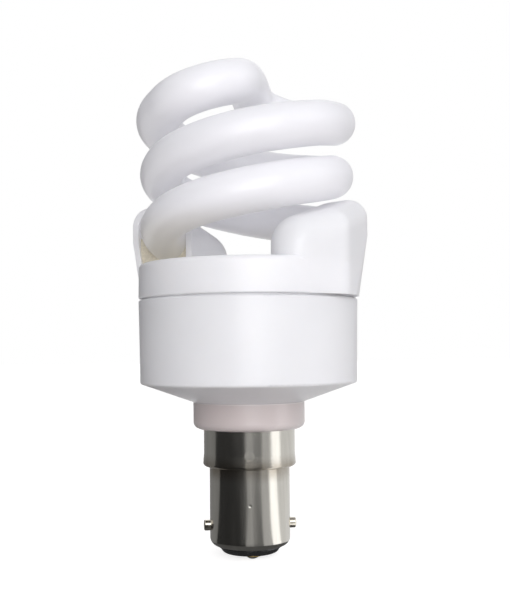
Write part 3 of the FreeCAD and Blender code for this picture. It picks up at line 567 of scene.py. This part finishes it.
def mouth_cement(material):
    """Cement that fills the mouth of each hood round the end of the glass."""
    front = -CEMENT_BEHIND_MOUTH
    back = front - CEMENT_THICK
    outline = ((CEMENT_INNER, back), (CEMENT_OUTER, back), (CEMENT_OUTER, front), (CEMENT_INNER, front))
    vertices = []
    faces = []
    for half_turn in (0, math.pi):
        turn = Matrix.Rotation(HOOD_ANGLE + half_turn, 3, "Z")
        first = len(vertices)
        vertices += [turn @ Vector((x, y, z)) for z in (CEMENT_LOW_Z, CEMENT_TOP_Z) for x, y in outline]
        faces += [tuple(first + corner for corner in side) for side in BOX_SIDES]
    piece = new_piece("mouth_cement", vertices, faces, material)
    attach(piece, "root")
    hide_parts("tube_cement")


def camera():
    """Level camera at the photograph's place, with the lens shifted as its framing needs."""
    data = bpy.data.cameras.new("camera")
    data.sensor_fit = "HORIZONTAL"
    data.sensor_width = SENSOR_WIDTH
    data.lens = SENSOR_WIDTH * FOCAL_PIXELS / IMAGE_WIDTH
    data.shift_x = AXIS_LEFT_OF_MIDDLE / IMAGE_WIDTH
    data.shift_y = HORIZON_BELOW_MIDDLE / IMAGE_WIDTH
    data.clip_start = CLIP_START
    place = from_camera(0, CAMERA_DISTANCE, EYE_HEIGHT)
    back = Vector((place.x, place.y, 0)).normalized()
    right = UP.cross(back)
    side = (right - UP * CAMERA_ROLL).normalized()
    top = back.cross(side)
    eye = bpy.data.objects.new("camera", data)
    eye.matrix_world = Matrix((side, top, back)).transposed().to_4x4()
    eye.location = place
    bpy.context.scene.collection.objects.link(eye)
    bpy.context.scene.camera = eye


def area_lamp(name, angle, distance, height, size, power):
    """Soft square lamp that points at the middle of the object."""
    data = bpy.data.lights.new(name, "AREA")
    data.size = size
    data.energy = power
    lamp = bpy.data.objects.new(name, data)
    lamp.location = from_camera(angle, distance, height)
    middle = (cad_box[0] + cad_box[1]) / 2
    lamp.rotation_euler = (middle - lamp.location).to_track_quat("-Z", "Y").to_euler()
    bpy.context.scene.collection.objects.link(lamp)


def seen_or_mirrored(tree):
    """Factor: 1 where the camera, a reflection or a clear thing looks, and 0 where light is gathered."""
    path = tree.nodes.new("ShaderNodeLightPath")
    total = path.outputs["Is Camera Ray"]
    for ray in ("Is Glossy Ray", "Is Transmission Ray"):
        larger = tree.nodes.new("ShaderNodeMath")
        larger.operation = "MAXIMUM"
        tree.links.new(total, larger.inputs[0])
        tree.links.new(path.outputs[ray], larger.inputs[1])
        total = larger.outputs["Value"]
    return total


def two_shaders(tree, gathered, seen):
    """One shader for gathered light, and another for what is seen or mirrored."""
    mix = tree.nodes.new("ShaderNodeMixShader")
    for source, target in zip((seen_or_mirrored(tree), gathered, seen), mix.inputs):
        tree.links.new(source, target)
    return mix.outputs["Shader"]


def soft_fill(tree):
    """Pale light from all round, weaker from overhead."""
    fill = tree.nodes["Background"]
    fill.inputs["Color"].default_value = (*FILL_COLOUR, 1)
    direction = tree.nodes.new("ShaderNodeTexCoord").outputs["Generated"]
    height = tree.nodes.new("ShaderNodeSeparateXYZ")
    tree.links.new(direction, height.inputs["Vector"])
    dimmer = tree.nodes.new("ShaderNodeMapRange")
    dimmer.inputs["To Min"].default_value = FILL_AT_HORIZON
    dimmer.inputs["To Max"].default_value = FILL_OVERHEAD
    tree.links.new(height.outputs["Z"], dimmer.inputs["Value"])
    tree.links.new(dimmer.outputs["Result"], fill.inputs["Strength"])
    return fill.outputs["Background"]


def world():
    """Surroundings that give the soft fill, and that are seen as white."""
    studio = bpy.data.worlds.new("studio")
    bpy.context.scene.world = studio
    studio.use_nodes = True
    tree = studio.node_tree
    white = tree.nodes.new("ShaderNodeBackground")
    white.inputs["Color"].default_value = (*WHITE, 1)
    shader = two_shaders(tree, soft_fill(tree), white.outputs["Background"])
    tree.links.new(shader, tree.nodes["World Output"].inputs["Surface"])


def floor_material():
    """Pale floor that is seen as near white, with the lamp's shadow kept."""
    made = Nodes("floor")
    made.colour(made.patches(made.noise(scale=6.0), *FLOOR_COLOURS))
    made.value(Roughness=0.9)
    plain = made.shader.outputs["BSDF"]
    lift = made.add("ShaderNodeEmission")
    lift.inputs["Strength"].default_value = FLOOR_LIFT
    lifted = made.add("ShaderNodeAddShader")
    made.link(plain, lifted.inputs[0])
    made.link(lift.outputs["Emission"], lifted.inputs[1])
    made.surface(two_shaders(made.tree, plain, lifted.outputs["Shader"]))
    return made.material


def floor():
    """Floor under the lowest point of the lamp."""
    z = cad_box[0].z - FLOOR_GAP
    reach = FLOOR_REACH
    corners = [(-reach, -reach, z), (reach, -reach, z), (reach, reach, z), (-reach, reach, z)]
    new_piece("floor", corners, [(0, 1, 2, 3)], floor_material())


def card_paint(name, tone):
    """Even grey light."""
    paint = Nodes(name)
    glow = paint.add("ShaderNodeEmission")
    glow.inputs["Color"].default_value = (tone, tone, tone, 1)
    paint.surface(glow.outputs["Emission"])
    return paint.material


def card(name, first, last, foot, radius, top, tone, shades=False):
    """Card bent round the lamp from a foot near the floor, seen in its gloss and, if asked, shading it."""
    steps = math.ceil((last - first) / CARD_STEP)
    corners = []
    for step in range(steps + 1):
        angle = first + (last - first) * step / steps
        corners += [from_camera(angle, foot, CARD_FOOT_Z), from_camera(angle, radius, top)]
    faces = [(2 * step, 2 * step + 2, 2 * step + 3, 2 * step + 1) for step in range(steps)]
    piece = new_piece(name, corners, faces, card_paint(name, tone))
    piece.visible_camera = False
    piece.visible_diffuse = shades
    piece.visible_shadow = False


def cards():
    card("foot_card", -180, 180, 0.0, LOW_CARD_FOOT, CARD_FOOT_Z, FOOT_CARD_TONE)
    for name, first, last, tone in LOW_CARDS:
        card(name, first, last, LOW_CARD_FOOT, LOW_CARD_RADIUS, LOW_CARD_TOP, tone)
    for name, first, last, tone in TALL_CARDS:
        card(name, first, last, TALL_CARD_RADIUS, TALL_CARD_RADIUS, TALL_CARD_TOP, tone, shades=True)


materials = slot_materials()
dress_nodes(materials)
glass_tube(materials["coated_glass"])
mouth_cement(materials["cement"])
camera()
for lamp in LAMPS:
    area_lamp(*lamp)
world()
floor()
cards()
bpy.context.scene.view_settings.view_transform = "Standard"
